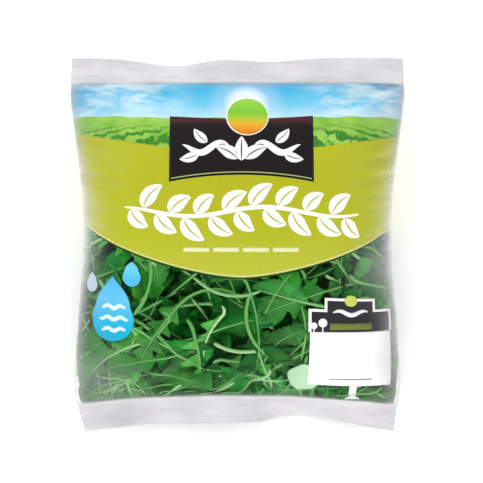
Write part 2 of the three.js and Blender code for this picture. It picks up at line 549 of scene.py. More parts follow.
def film_material():
    """Clear film: see-through, glossy at a slant, whitish at its edges, milky where welded, with painted
    light and shade of crumples in its milky tone.
    """
    n = Nodes("clear_film")
    bump = n.bump(n.noise(n.flat(), 90, 4, 0.55), 0.3 * MM, 0.3)
    gloss = n.shader("BsdfGlossy", {"Color": WHITE, "Roughness": 0.16, "Normal": bump})
    clear = n.shader("BsdfTransparent", {"Color": WHITE})
    crimps = n.ramp(n.noise(n.flat(0.12), 700, 3), ((0.3, (221, 219, 221)), (0.7, (230, 228, 230))))
    # Painted light and shade: broad lighter and darker patches in the milky tone, standing in for crumpled
    # film catching the light.
    crumple_light_and_shade = n.ramp(n.noise(n.flat(0.35), 110, 2), ((0.3, (234, 234, 236)), (0.7, 255)))
    tone = n.mix(1.0, crimps, crumple_light_and_shade, "MULTIPLY")
    lit_milk, thin_milk = (n.shader(kind, {"Color": tone}) for kind in ("BsdfDiffuse", "BsdfTranslucent"))
    milk = n.shader("MixShader", {0: 0.25, 1: lit_milk, 2: thin_milk})
    slant = n.facing()
    fold = n.value("fold")
    crease = n.times(n.power(fold, 16.0), 0.4)
    fold_haze = n.times(n.power(slant, 2.1), n.times(fold, 2.2))
    edge_haze = n.plus(n.times(n.power(slant, 3.2), 0.35), n.plus(fold_haze, crease))
    body_haze = n.plus(edge_haze, n.times(n.noise(n.flat(), 60, 2), 0.003))
    weld_haze = n.plus(n.times(n.value("weld"), 0.78), n.value("bloom"))
    haze = n.plus(body_haze, weld_haze, clamp=True)
    hazy = n.shader("MixShader", {0: haze, 1: clear, 2: milk})
    shine = n.times(n.power(n.facing(Normal=bump), 3.2), 0.5)
    return n.finish(n.shader("MixShader", {0: shine, 1: hazy, 2: gloss}))


def inked(n, colour, roughness=0.35):
    """Finishes a printed ink: the colour given, faintly mottled, under a satin surface."""
    mottle = n.noise(n.flat(), 900, 2)
    toned = n.mix(1.0, colour, n.ramp(mottle, ((0.3, 240), (0.7, 250))), "MULTIPLY")
    return n.satin(toned, roughness, 0.06, n.bump(mottle, 0.02 * MM, 0.4))


def plain_ink(name, dark, light=None):
    """Ink of one tone that drifts a little from dark to light across the film."""
    n = Nodes(name)
    return inked(n, n.ramp(n.noise(n.flat(), 25, 2), ((0.35, dark), (0.65, light or dark))))


def graded_ink(name, low, reach, stops, roughness=0.35):
    """Ink whose tone changes along the bag, from low over a reach in mm."""
    n = Nodes(name)
    return inked(n, n.ramp(n.height(low, reach), stops), roughness)


# ---- The film bag, its welds and the long fin weld on its back ----

FILM_SKIN = 0.1 * MM
RING_COLUMNS = 320
BODY_STEPS = 140
RIB_PITCH = 1.5 * MM
RIB_DEPTH = 0.05 * MM
STEPS_PER_RIB = 6
WELD_FADE = 0.8 * MM
FOLD_HAZE_REACH = 22 * MM
BACK_HAZE_REACH = 6 * MM
BACK_HAZE = 0.4
WELD_BLOOM = 0.45
WELD_BLOOM_REACH = 1.8 * MM
# Slack patches of the front: strength, then middle and reach in u and in v, in mm.
SLACK_PATCHES = ((0.22, -82, 20, -82, 20), (0.24, 91, 9, -64, 26), (0.2, 84, 18, -14, 14))
FIN_WIDTH = 10 * MM
FIN_THICKNESS = 0.12 * MM
FIN_MILK = 0.6
FIN_INSET = 0.5 * MM
FIN_ROWS = 220
FIN_COLUMNS = 13


def from_fold(u):
    """How far places round the film are from the nearer side fold, negative before it."""
    turns = (u + HALF_WIDTH) / FLAT_WIDTH
    return (turns - np.round(turns)) * FLAT_WIDTH


def fold_share(u):
    """1 on the side folds, fading away from them, and sooner on the back than on the front."""
    away = np.abs(from_fold(u))
    clearer = np.where(np.abs(u) <= HALF_WIDTH, 1, np.clip(1 - away / BACK_HAZE_REACH, BACK_HAZE, 1))
    return hump(away, 0, FOLD_HAZE_REACH) * clearer


def bloom(u, v):
    """How milky the clear body is, beside the welds and where slack film catches the light."""
    milk = WELD_BLOOM * np.exp(-np.maximum(from_weld(v), 0) / WELD_BLOOM_REACH)
    for strength, middle_u, reach_u, middle_v, reach_v in SLACK_PATCHES:
        milk = milk + strength * hump(u, middle_u * MM, reach_u * MM) * hump(v, middle_v * MM, reach_v * MM)
    return milk


def make_bag(material):
    low_steps, high_steps = (round(seal / RIB_PITCH * STEPS_PER_RIB) for seal in (BOTTOM_SEAL, TOP_SEAL))
    v = np.concatenate([
        np.linspace(-HALF_LENGTH, BODY_LOW, low_steps, endpoint=False),
        np.linspace(BODY_LOW, BODY_HIGH, BODY_STEPS, endpoint=False),
        np.linspace(BODY_HIGH, HALF_LENGTH, high_steps),
    ])[:, None]
    u = round_film(RING_COLUMNS)
    points, _ = film.surface(u, v)
    column = np.arange(RING_COLUMNS)
    half = RING_COLUMNS // 2
    across = (column % half) / half * 2 - 1
    side = np.where(column < half, 1, -1)
    welded = np.clip(0.5 - from_weld(v) / WELD_FADE, 0, 1)
    points[..., 2] += FILM_SKIN * side * (1 - across**12)
    points[..., 2] += RIB_DEPTH * welded * np.cos(math.tau * (v + HALF_LENGTH) / RIB_PITCH)
    soup = Soup()
    soup.add(points, pouch_quads(len(v), RING_COLUMNS),
             u=u, v=v, weld=welded, fold=fold_share(u), bloom=bloom(u, v))
    return soup.build("film_bag", material)


def make_fin(material):
    """The fin weld: doubled film that lies flat down the middle of the back."""
    u = FLAT_WIDTH + np.linspace(-FIN_WIDTH / 2, FIN_WIDTH / 2, FIN_COLUMNS)[None]
    v = np.linspace(-HALF_LENGTH + FIN_INSET, HALF_LENGTH - FIN_INSET, FIN_ROWS)[:, None]
    point, normal = film.surface(u, v)
    ribs = RIB_DEPTH * np.cos(math.tau * (u - FLAT_WIDTH) / RIB_PITCH)[..., None]
    lift = FILM_SKIN + FIN_THICKNESS + ribs
    soup = Soup()
    soup.add_shell(point + (lift + FIN_THICKNESS) * normal, point + lift * normal, u=u, v=v, weld=FIN_MILK)
    soup.build("fin_weld", material)


# ---- The print: patches of ink on the inside of the front ----
# The artwork is drawn flat, in mm: a across it and v along the bag. It sits a little off the middle.

INK_DEPTH = 0.28 * MM
INK_STEP = 0.03 * MM
INK_THICKNESS = 0.02 * MM
INK_ROOM = 1.5 * MM
INK_FINENESS = 1.1
BAND_FINENESS = 1.4
LEAST_LINE = 0.06
MIDRIB_GAP = 0.09
ARTWORK_SHIFT = 2.15
BACK_GAP = 2
HORIZON = 73.5
SKY_TOP = BODY_HIGH / MM - 0.3
PANEL_HALF = 40.2
SUN_PLACE = 3.3, 74.6


def nearest(a):
    """How far across from the middle of the front, or of the back, an artwork place is."""
    u = a + ARTWORK_SHIFT
    return np.minimum(np.abs(u), FLAT_WIDTH / MM - np.abs(u)) - np.sign(u) * ARTWORK_SHIFT


def hill(a):
    """Where the fields end and the lime band begins."""
    return 52.9 + 10.6 * (nearest(a) / 86) ** 2


def horizon(a):
    """Where the fields meet the sky: level to the eye, so raised where the film dips at the sides."""
    return HORIZON + 1.6 * (nearest(a) / 93) ** 4


def band_edge(a):
    """The lower edge of the lime band: a deep smile."""
    return -18.2 + 27 * np.abs(nearest(a) / 93) ** 1.6


class Ink:
    """One colour of ink, gathered from many patches. Layer 0 is printed last, nearest the leaves."""

    made = []

    def __init__(self, name, layer, *tones, shader=plain_ink, warp=None):
        self.name, self.layer, self.warp, self.soup = name, layer, warp, Soup()
        self.material = shader("ink_" + name, *tones)
        self.made.append(self)

    def patch(self, a, v):
        """Adds a grid of artwork places, through the warp if there is one."""
        if self.warp:
            a, v = self.warp(a, v)
        u, v = (a + ARTWORK_SHIFT) * MM, v * MM
        thin = np.clip(film.room(u, v) / INK_ROOM, 0.05, 1)[..., None]
        depth = INK_DEPTH - self.layer * INK_STEP
        point, normal = film.surface(u, v)
        inner = point - thin * (depth + INK_THICKNESS) * normal
        self.soup.add_shell(point - thin * depth * normal, inner, u=u, v=v)

    def between(self, left, right, lower, upper, columns=None):
        """A patch from a = left to right, between two levels or curves of a."""
        columns = columns or max(3, int((right - left) / INK_FINENESS))
        a = np.linspace(left, right, columns)[None]
        low, high = (np.broadcast_to(edge(a) if callable(edge) else edge, a.shape) for edge in (lower, upper))
        rows = max(3, int((high - low).max() / INK_FINENESS))
        step = np.linspace(0, 1, rows)[:, None]
        self.patch(np.broadcast_to(a, (rows, columns)), low + (high - low) * step)

    def round_bag(self, lower, upper):
        """A patch right round the bag, from one side of the fin weld to the other."""
        reach = FLAT_WIDTH / MM - BACK_GAP
        columns = int(2 * reach / BAND_FINENESS)
        self.between(-reach - ARTWORK_SHIFT, reach - ARTWORK_SHIFT, lower, upper, columns)

    def blob(self, centre_a, centre_v, radius, steps=25):
        """A patch round a centre, out to a radius or a function of the angle."""
        line = np.linspace(-1, 1, steps)
        x, y = np.meshgrid(line, line)
        angle = np.arctan2(y, x)
        out = np.maximum(np.abs(x), np.abs(y)) * (radius(angle) if callable(radius) else radius)
        self.patch(centre_a + out * np.cos(angle), centre_v + out * np.sin(angle))

    def ribbon(self, path, half_width, steps, lanes=4, low=-1.0, high=1.0):
        """A patch along a path (s to a, v), from low to high half widths beside it."""
        s = np.linspace(0, 1, steps)
        a, v = path(s)
        da, dv = np.gradient(a), np.gradient(v)
        length = np.hypot(da, dv)
        width = np.maximum(half_width(s), LEAST_LINE)
        lane = np.linspace(low, high, lanes)[:, None]
        self.patch(a - lane * width * dv / length, v + lane * width * da / length)

    def leaf(self, a, v, length, heading, half_width, bend):
        """A plain two-sided leaf, split down its midrib."""
        def path(s):
            turn = heading + bend * (s - 0.5)
            return a + length * s * np.cos(turn), v + length * s * np.sin(turn)

        for low, high in ((MIDRIB_GAP, 1.0), (-1.0, -MIDRIB_GAP)):
            self.ribbon(path, tapered(half_width, 0.8, 0.8), 18, 4, low, high)

    def build(self):
        self.soup.build("print_" + self.name, self.material, "print")


def tapered(half_width, power, skew=1):
    """Half width along a line that thins out to both its ends."""
    return lambda s: half_width * np.sin(math.pi * s**skew) ** power


def print_scenery():
    """Sky, fields and the lime band, right round the bag, with a painted shadow under the band's lower edge
    on the front.
    """
    Ink("sky", 0, shader=sky_ink).round_bag(lambda a: horizon(a) - 1, SKY_TOP)
    fields = Ink("fields", 1, shader=field_ink)
    fields.round_bag(lambda a: hill(a) - 1, lambda a: horizon(a) + 0.3 * np.sin(a / 3))
    # Painted shadow: a dark green ink strip along the lime band's lower edge on the front, standing in for
    # the shade under it.
    shade = Ink("band_shade", 1, (24, 58, 22), (32, 74, 26))
    shade.between(-87, 84, lambda a: band_edge(a) - 1, lambda a: band_edge(a) + 1)
    Ink("band", 2, shader=band_ink).round_bag(band_edge, hill)
    rim = Ink("band_rim", 3, (205, 208, 108), (214, 216, 124))
    rim.round_bag(band_edge, lambda a: band_edge(a) + 1.3)


def print_panel():
    """The dark panel with a plain flourish, and the sun in front of its upper edge."""
    Ink("sun_glow", 5, (250, 252, 250)).blob(*SUN_PLACE, 12.1)
    sun = Ink("sun", 6, 63, 23, ((0.05, (228, 130, 34)), (0.3, (232, 176, 52)), (0.42, (176, 196, 60)),
                                 (0.6, (126, 196, 56)), (1.0, (156, 208, 84))), shader=graded_ink)
    sun.blob(*SUN_PLACE, 11.4)
    panel = Ink("panel", 4, 66, 9, ((0.0, (34, 31, 32)), (0.35, (40, 34, 35)), (0.7, (84, 42, 50)),
                                    (0.95, (48, 30, 34))), 0.3, shader=graded_ink)

    def foot(a):
        return 39.3 - 4.0 * (a / PANEL_HALF) ** 2

    panel.between(-PANEL_HALF, PANEL_HALF, foot, lambda a: 73.0 + 1.5 * (a / PANEL_HALF) ** 2)
    line = Ink("panel_line", 5, (176, 190, 120))
    line.between(1.2 - PANEL_HALF, PANEL_HALF - 1.2, lambda a: foot(a) + 1.3, lambda a: foot(a) + 1.9)
    flourish = Ink("flourish", 6, (250, 250, 246))
    up = math.pi / 2
    for side in (-1, 1):
        flourish.ribbon(
            lambda s: (side * (7 + 26 * s), 55.0 + 3.8 * np.sin(2.2 * math.pi * s + 0.4) * (1 - 0.4 * s)),
            tapered(2.0, 0.7), 40, 5)
        flourish.leaf(side * 2.2, 48.5, 14, up - side * 0.85, 3.7, -side * 0.4)
        flourish.leaf(side * 19, 58.5, 11, up - side * 0.9, 2.8, side * 0.3)
        flourish.leaf(side * 24, 51.5, 11, -side * 0.45 + (math.pi if side < 0 else 0), 2.8, side * 0.3)
    flourish.leaf(0, 47.5, 14.5, up, 3.8, 0.0)


def print_garland():
    """A white garland of plain leaves across the lime band, and a broken rule under it."""
    white = Ink("garland", 4, (254, 254, 244))

    def stem_v(a):
        return 18.6 + 2.6 * np.sin(a / 13 + 0.6)

    white.ribbon(lambda s: (-66 + 133 * s, stem_v(-66 + 133 * s)), tapered(1.25, 0.25), 120)
    leaves = 17
    for i in range(leaves):
        a = -62 + 120 * i / (leaves - 1)
        side = 1 if i % 2 else -1
        length = 15.5 - 1.5 * math.cos(2.4 * i)
        lean = side * (1.0 + 0.12 * math.sin(1.7 * i))
        white.leaf(a, stem_v(a) + side, length, lean, 4.5, -side * 0.5)
    rule = Ink("rule", 4, (232, 234, 180))
    for i in range(4):
        left = -32 + 16.4 * i
        rule.between(left, left + 14.4, -3.8, -1.4)


def drop_outline(width, height):
    """The radius at an angle of a drop: a circle, and two full sides that run to its tip."""
    touch = math.asin(width / height)
    reach = math.pi / 2 - touch

    def radius(angle):
        off = np.abs(math.pi / 2 - angle)
        off = np.minimum(off, math.tau - off)
        fall = np.minimum(off / reach, 1)
        side = width / np.maximum(np.sin(touch + fall * reach), 1e-6)
        return np.where(off < reach, side * (1 + 0.17 * np.sin(math.pi * fall)), width)
    return radius


def print_drops():
    """Water drops by the left edge, with plain wavy lines on the large one."""
    drops = Ink("drops", 1, -53, 38, ((0.0, (4, 178, 210)), (0.2, (40, 184, 226)), (0.55, (104, 196, 234)),
                                      (0.85, (82, 186, 230)), (1.0, (104, 204, 226))), shader=graded_ink)
    drops.blob(-73.6, -43.7, drop_outline(12.9, 25.2), 41)
    drops.blob(-61.8, -18.6, drop_outline(5.4, 8.8))
    Ink("faint_drop", 1, (170, 194, 210), (190, 206, 220)).blob(-88.2, -24.6, drop_outline(4.2, 7.5))
    ripples = Ink("ripples", 2, (222, 244, 252))
    for row, half in enumerate((7.4, 9.0, 7.4)):
        def ripple(s):
            a = -73.0 - half + 2 * half * s
            return a, -36.2 - 6.6 * row + 0.8 * np.sin(a / 1.25)
        ripples.ribbon(ripple, tapered(1.25, 0.3), 50)


def squared_up(a, v):
    """The sign's own places, drawn so that it looks square on the swollen film."""
    middle = -61.2
    share = (a - 38) / 49
    down = (middle - v) / 24
    return a + (1.5 + 0.4 * down) * (1 - share), middle - 0.5 + (v - middle) * (1.027 - 0.095 * share)


def print_sign():
    """The white date panel, shaped like a sign on a post, left blank."""
    left, right, low, high = 38.0, 87.0, -84.4, -38.0
    step_left, step_right, step_high = 47.4, 75.6, -31.4
    header_low = -49.8
    rim = 1.6
    post = 64.8
    on_sign = partial(Ink, warp=squared_up)
    bush = Ink("bush", 0, (166, 208, 166), (192, 222, 190))
    bush.blob(36.8, -80.8, lambda t: 9.4 + 0.4 * np.sin(5 * t))
    white = on_sign("sign", 1, (255, 255, 255), (252, 253, 252))
    white.between(left - rim, right + rim, header_low, high + rim)
    white.between(left - 0.6, right + 0.6, low, header_low)
    white.between(step_left - rim, step_right + rim, high + rim, step_high + rim)
    white.between(post - 2.2, post + 2.2, -94.0, low, 6)
    white.between(post - 4.6, post + 4.6, -94.6, lambda a: -90.6 - 3.4 * np.abs((a - post) / 4.6), 9)
    header = on_sign("sign_header", 2, (38, 36, 40), (52, 50, 55))
    header.between(left + 0.2, right, header_low, high)
    header.between(step_left, step_right, high, step_high)
    marks = on_sign("sign_marks", 3, (238, 240, 238))
    for a, v, size in ((39.6, -46.2, 2.0), (44.8, -44.4, 2.6)):
        marks.blob(a, v, size, 13)
        marks.between(a - 0.35, a + 0.35, header_low, v)
    marks.ribbon(lambda s: (50.5 + 22 * s, -38.4 + 1.2 * np.sin(9 * s)), tapered(1.3, 0.5), 40)
    on_sign("sign_bar", 3, (98, 110, 48), (122, 132, 64)).between(49, 75, -48.4, -44.6)
    disc = on_sign("sign_disc", 4, (190, 204, 74), (206, 216, 104))
    disc.blob(61.6, -31.2, lambda t: 3.6 + 0.3 * np.cos(2 * t), 15)
    on_sign("sign_line", 2, (150, 152, 154)).between(50.2, 75.6, -80.3, -79.4)


def sky_ink(name):
    """Blue sky, paler towards the horizon and round the sun, with soft streaks of cloud."""
    n = Nodes(name)
    blue = n.ramp(n.height(HORIZON, SKY_TOP - HORIZON), (
        (0.0, (184, 224, 236)), (0.35, (116, 198, 232)), (0.75, (70, 180, 222)), (1.0, (66, 168, 212))))
    wisps = n.noise(n.flat(0.4), 120, 4, 0.6, 0.2)
    away = n.size(n.minus(n.value("u"), 4 * MM))
    cover = n.times(n.minus(away, 26 * MM), 1 / (34 * MM), clamp=True)
    cloud = n.times(n.ramp(wisps, ((0.34, 0), (0.65, 240)), "EASE"), cover)
    clouded = n.mix(cloud, blue, (216, 236, 242))
    far = n.add("VectorMath", {0: n.flat(), 1: (5 * MM, 82 * MM, 0)}, operation="DISTANCE").outputs["Value"]
    glow = n.ramp(n.over(far, 24 * MM), ((0.3, 225), (0.62, 110), (1.0, 0)), "EASE")
    return inked(n, n.mix(glow, clouded, 252))


def field_ink(name):
    """Green fields whose darker rows run together towards the horizon."""
    n = Nodes(name)
    down = n.minus((HORIZON + 5) * MM, n.value("v"))
    fan = n.over(n.minus(n.value("u"), 4 * MM), down)
    wobble = n.times(n.noise(n.flat(), 190, 3), 12.0)
    rows = n.math("SINE", n.plus(n.times(fan, 4.2), wobble))
    tufts = n.times(n.minus(n.noise(n.flat(), 330, 4, 0.65), 0.3), 2.4)
    near = n.power(n.over(n.minus(HORIZON * MM, n.value("v")), 11 * MM, clamp=True), 2.0)
    dark = n.times(n.times(n.plus(rows, tufts), near), 1.1, clamp=True)
    grass = n.ramp(n.noise(n.flat(), 90, 3), ((0.3, (124, 184, 62)), (0.7, (164, 208, 96))))
    return inked(n, n.mix(dark, grass, (66, 134, 48)))


def band_ink(name):
    """Lime band, a little deeper in the middle and paler low down."""
    n = Nodes(name)
    lime = n.ramp(n.height(-16, 80), (
        (0.0, (186, 190, 66)), (0.3, (178, 182, 34)), (0.65, (178, 180, 32)), (1.0, (182, 184, 40))))
    return inked(n, n.mix(n.times(n.noise(n.flat(), 32, 3), 0.3), lime, (190, 192, 64)))


# ---- The salad: loose leaves and stalks just inside the film, over a dark heap ----

SALAD_LOW = BODY_LOW + 0.3 * MM
SALAD_HIGH = BODY_HIGH - 30 * MM
UNDER_PRINT = 24 * MM
SHOWN_SHARE = 0.84
HEAP_INSET = 12.5 * MM
HEAP_COLUMNS = 180
HEAP_ROWS = 90
HEAP_WAVES = 26
LUMP_DEPTH = 0.03
# Limits as shares of the bag's thickness: the heap's depth, a leaf's depth, and its least depth or
# a stalk's radius where the bag is thin.
HEAP_SHARE = 0.46
LEAF_SHARE = 0.38
LEAST_SHARE = 0.3
SHALLOWEST = 0.55 * MM
BLADE_DEPTH = 1.1 * MM
LEAF_THICKNESS = 0.3 * MM
SIDE_PUSH = 2.6 * MM
FOLD_REACH = 7 * MM
THICK_SIDE = 12 * MM
THICK_MIDDLE = 30 * MM
WELD_REACH = 2.5 * MM

LOBED_LEAVES = 190
ROUND_LEAVES = 70
WELD_LEAVES = 14
LOOSE_STALKS = 30
STALK_STEPS = 18
MIDRIB_REACH = 0.8
# Steps of an even scatter, whose multiples never bunch together.
SCATTER_ACROSS = 0.7548776662
SCATTER_ALONG = 0.5698402910
SCATTER_DEPTH = 0.618
FLIPPED_SHARE = 0.35
PALE_CORNER = 0.45
PALE_PLACE = -78 * MM
PALE_REACH = 34 * MM
# Direction of the light painted into the leaves' colour: blades tilted towards it are painted lighter, those
# tilted away darker.
PAINTED_LIGHT_FROM = np.array([-0.45, 0.55, 0.7])


def off_folds(u, v, push):
    """Moves places away from the folds at the bag's sides, most where the bag is thin or printed."""
    away = from_fold(u)
    thinness = 1 - np.clip(film.room(HALF_WIDTH - FOLD_REACH, v) / THICK_SIDE, 0, 1)
    side = np.where(away < 0, -1, 1)
    covered = np.clip(v / UNDER_PRINT, 0, 1)
    return u + side * push * (0.15 + thinness + 1.5 * covered) * np.exp(-np.abs(away) / FOLD_REACH)


def off_welds(v):
    """Squeezes places that would reach into the welds back towards the salad."""
    low = np.maximum((v - SALAD_LOW) / WELD_REACH, -8)
    high = np.maximum((SALAD_HIGH - v) / WELD_REACH, -8)
    v = np.where(low < 1, SALAD_LOW + WELD_REACH * np.exp(low - 1), v)
    return np.where(high < 1, SALAD_HIGH - WELD_REACH * np.exp(high - 1), v)


def carry(u, v, depth):
    """Points inside the bag at u, v and a depth that stays between the film and the heap."""
    v = off_welds(v)
    u, v, depth = np.broadcast_arrays(off_folds(u, v, SIDE_PUSH), v, depth)
    room = film.room(u, v)
    shallowest = np.minimum(SHALLOWEST, LEAST_SHARE * room)
    return film.inside(u, v, np.clip(depth, shallowest, np.clip(LEAF_SHARE * room, 0, HEAP_INSET)))


def make_heap():
    """The heap's dark inside, as one lumpy closed form."""
    rng = np.random.default_rng(11)
    u = round_film(HEAP_COLUMNS)
    v = np.linspace(SALAD_LOW + 0.4 * MM, SALAD_HIGH + 2 * MM, HEAP_ROWS)[:, None]
    lumps = np.zeros((HEAP_ROWS, HEAP_COLUMNS))
    for _ in range(HEAP_WAVES):
        turns = rng.integers(3, 34)
        along = rng.uniform(-900, 900)
        turn = turns * (u + HALF_WIDTH) / (2 * FLAT_WIDTH)
        lumps += np.sin(math.tau * (turn + rng.uniform()) + along * v)
    u = off_folds(u, v, 1.4 * SIDE_PUSH)
    room = film.room(u, v)
    depth = np.minimum(HEAP_INSET, HEAP_SHARE * room)
    depth = depth * (1 + LUMP_DEPTH * lumps * np.clip(room / THICK_MIDDLE, 0.1, 1))
    soup = Soup()
    soup.add(film.inside(u, v, depth), pouch_quads(HEAP_ROWS, HEAP_COLUMNS))
    soup.build("salad_heap", heap_material(), "heap")


def lobed_outline(rng):
    """Half width, from 0 at the base to 1 at the tip, of a leaf with paired lobes."""
    places = np.array([0.16, 0.36, 0.57]) + rng.uniform(-0.03, 0.03, 3)
    sizes = np.array([0.55, 0.85, 1.0]) * rng.uniform(0.7, 1.1, 3)
    tip_place, tip_size = 0.82, rng.uniform(0.55, 0.8)

    def half_width(s):
        width = 0.10 + 0 * s
        for place, size in zip(places, sizes):
            width = np.maximum(width, size * np.exp(-((s - place) / 0.062) ** 2))
        tip = np.sqrt(np.maximum(0, 1 - ((s - tip_place) / 0.18) ** 2))
        return np.maximum(width * (s < tip_place), tip_size * tip) + 0.01
    return half_width


def round_outline(rng):
    """Half width of a young leaf: a long oval with a shallowly toothed edge."""
    fullness = rng.uniform(0.7, 1.05)
    teeth = rng.uniform(9, 14)

    def half_width(s):
        oval = np.sin(math.pi * np.clip(s, 0, 1) ** fullness) ** 0.75
        return oval * (1 + 0.07 * np.sin(math.tau * teeth * s)) + 0.01
    return half_width


class Leaf:
    """One leaf laid out flat: a bent midrib from the stalk's cut end to the tip."""

    def __init__(self, rng, u, v, depth, heading, stalk, blade, half_width, outline, slant):
        self.rng, self.stalk, self.blade, self.depth = rng, stalk, blade, depth
        self.half_width, self.outline, self.slant = half_width, outline, slant
        bend = rng.normal(0, 0.55)
        stalk_bend = rng.normal(0, 0.9)
        self.run = np.linspace(-stalk, blade, 60)
        self.turn = heading + np.where(self.run > 0, bend * self.run / blade, stalk_bend * self.run / stalk)
        step = np.diff(self.run, prepend=self.run[0])
        mid_u, mid_v = np.cumsum(step * np.cos(self.turn)), np.cumsum(step * np.sin(self.turn))
        centre = np.searchsorted(self.run, blade * 0.4)
        self.mid_u, self.mid_v = mid_u - mid_u[centre] + u, mid_v - mid_v[centre] + v
        beside = np.where(self.run > 0, 0.8 * half_width * np.abs(np.cos(self.turn)), 0)
        self.mid_v += rng.uniform(0.45, 0.95) * max(0, SALAD_LOW - (self.mid_v - beside).min())
        self.tilt = rng.normal(0, 0.08)
        self.roll = rng.normal(0, 0.3)
        self.fold = rng.uniform(-0.1, 0.55)
        self.waves = rng.uniform(1.0, 3.2) * MM, rng.uniform(1.5, 3.5), rng.uniform(0, math.tau)
        self.arch = rng.uniform(-1.5, 2.5) * MM, rng.uniform(0, math.tau)
        pale = PALE_CORNER * hump(u, PALE_PLACE, PALE_REACH) * hump(v, PALE_PLACE, PALE_REACH)
        self.tone = min(1.0, rng.beta(1.2, 1.8) + pale)
        self.warmth = min(1.0, rng.beta(1.4, 3.0) + pale)

    def along(self, run):
        """Place, heading and depth of the midrib at a run along it."""
        u, v, turn = (np.interp(run, self.run, line) for line in (self.mid_u, self.mid_v, self.turn))
        size, shift = self.arch
        depth = self.depth + self.tilt * (run - 0.4 * self.blade)
        return u, v, turn, depth + size * np.sin(math.pi * run / self.blade + shift)

    def add_blade(self, soup, steps, lanes):
        s = np.linspace(0, 1, steps)[None]
        t = np.linspace(-1, 1, lanes)[:, None]
        width = self.half_width * self.outline(s)
        u, v, turn, depth = self.along(self.blade * s + self.slant * np.abs(t) * width)
        beside = t * width
        size, count, shift = self.waves
        depth = depth + self.roll * beside + self.fold * np.abs(beside)
        depth = depth + size * t**2 * np.sin(math.tau * count * s + shift + 0.6 * t)
        depth = np.clip(depth, BLADE_DEPTH, HEAP_INSET)
        u, v = u - beside * np.sin(turn), v + beside * np.cos(turn)
        # Painted light: how far each part of the blade tilts towards the painted light, kept for the leaf
        # colour.
        flat = np.stack([u, v, -depth], -1)
        facing = unit(np.cross(np.gradient(flat, axis=1), np.gradient(flat, axis=0)))
        soup.add_shell(carry(u, v, depth), carry(u, v, depth + LEAF_THICKNESS), along=s, across=t,
                       tone=self.tone, warmth=self.warmth, under=self.rng.random() < FLIPPED_SHARE,
                       deep=depth / HEAP_INSET, lit=facing @ PAINTED_LIGHT_FROM / PAINTED_LIGHT_FROM[2])

    def add_stalk(self, soup, radius):
        """The round stalk, which runs on as a midrib and thins out towards the tip."""
        run = np.linspace(-self.stalk, MIDRIB_REACH * self.blade, 20)
        u, v, _, depth = self.along(run)
        thin = np.clip(run / self.blade, 0, 1)
        add_tube(soup, u, v, depth + 0.1 * MM, radius * (1 - 0.85 * thin**0.7),
                 tone=self.tone, warmth=self.warmth)


def add_tube(soup, u, v, depth, radius, sides=6, **values):
    """A closed tube along a route just inside the film."""
    middle = carry(u, v, np.maximum(depth, SHALLOWEST + radius))
    v = off_welds(v)
    _, normal = film.surface(u, v)
    forward = unit(np.gradient(middle, axis=0))
    sideways = unit(np.cross(forward, normal))
    up = np.cross(sideways, forward)
    angle = math.tau * np.arange(sides)[None, :, None] / sides
    steps = len(middle)
    ends = np.ones(steps)
    ends[[0, -1]] = 0.55
    size = (np.minimum(radius, LEAST_SHARE * film.room(u, v)) * ends)[:, None, None]
    ring = middle[:, None] + size * (np.cos(angle) * sideways[:, None] + np.sin(angle) * up[:, None])
    quads = [tube_quads(steps, sides)[:, (0, 3, 2, 1)], end_quads(steps, sides, 1)[:, ::-1]]
    soup.add(ring, np.concatenate(quads), **values)


def spread(count, seed):
    """Evenly scattered places u and v. Most lie below the print."""
    k = np.arange(count) + 0.5
    share = (k * SCATTER_ALONG + seed * 0.7) % 1
    shown = SALAD_LOW + (UNDER_PRINT - SALAD_LOW) * share / SHOWN_SHARE
    hidden = UNDER_PRINT + (SALAD_HIGH - UNDER_PRINT) * (share - SHOWN_SHARE) / (1 - SHOWN_SHARE)
    across = (k * SCATTER_ACROSS + seed) % 1
    return -HALF_WIDTH + 2 * FLAT_WIDTH * across, np.where(share < SHOWN_SHARE, shown, hidden)


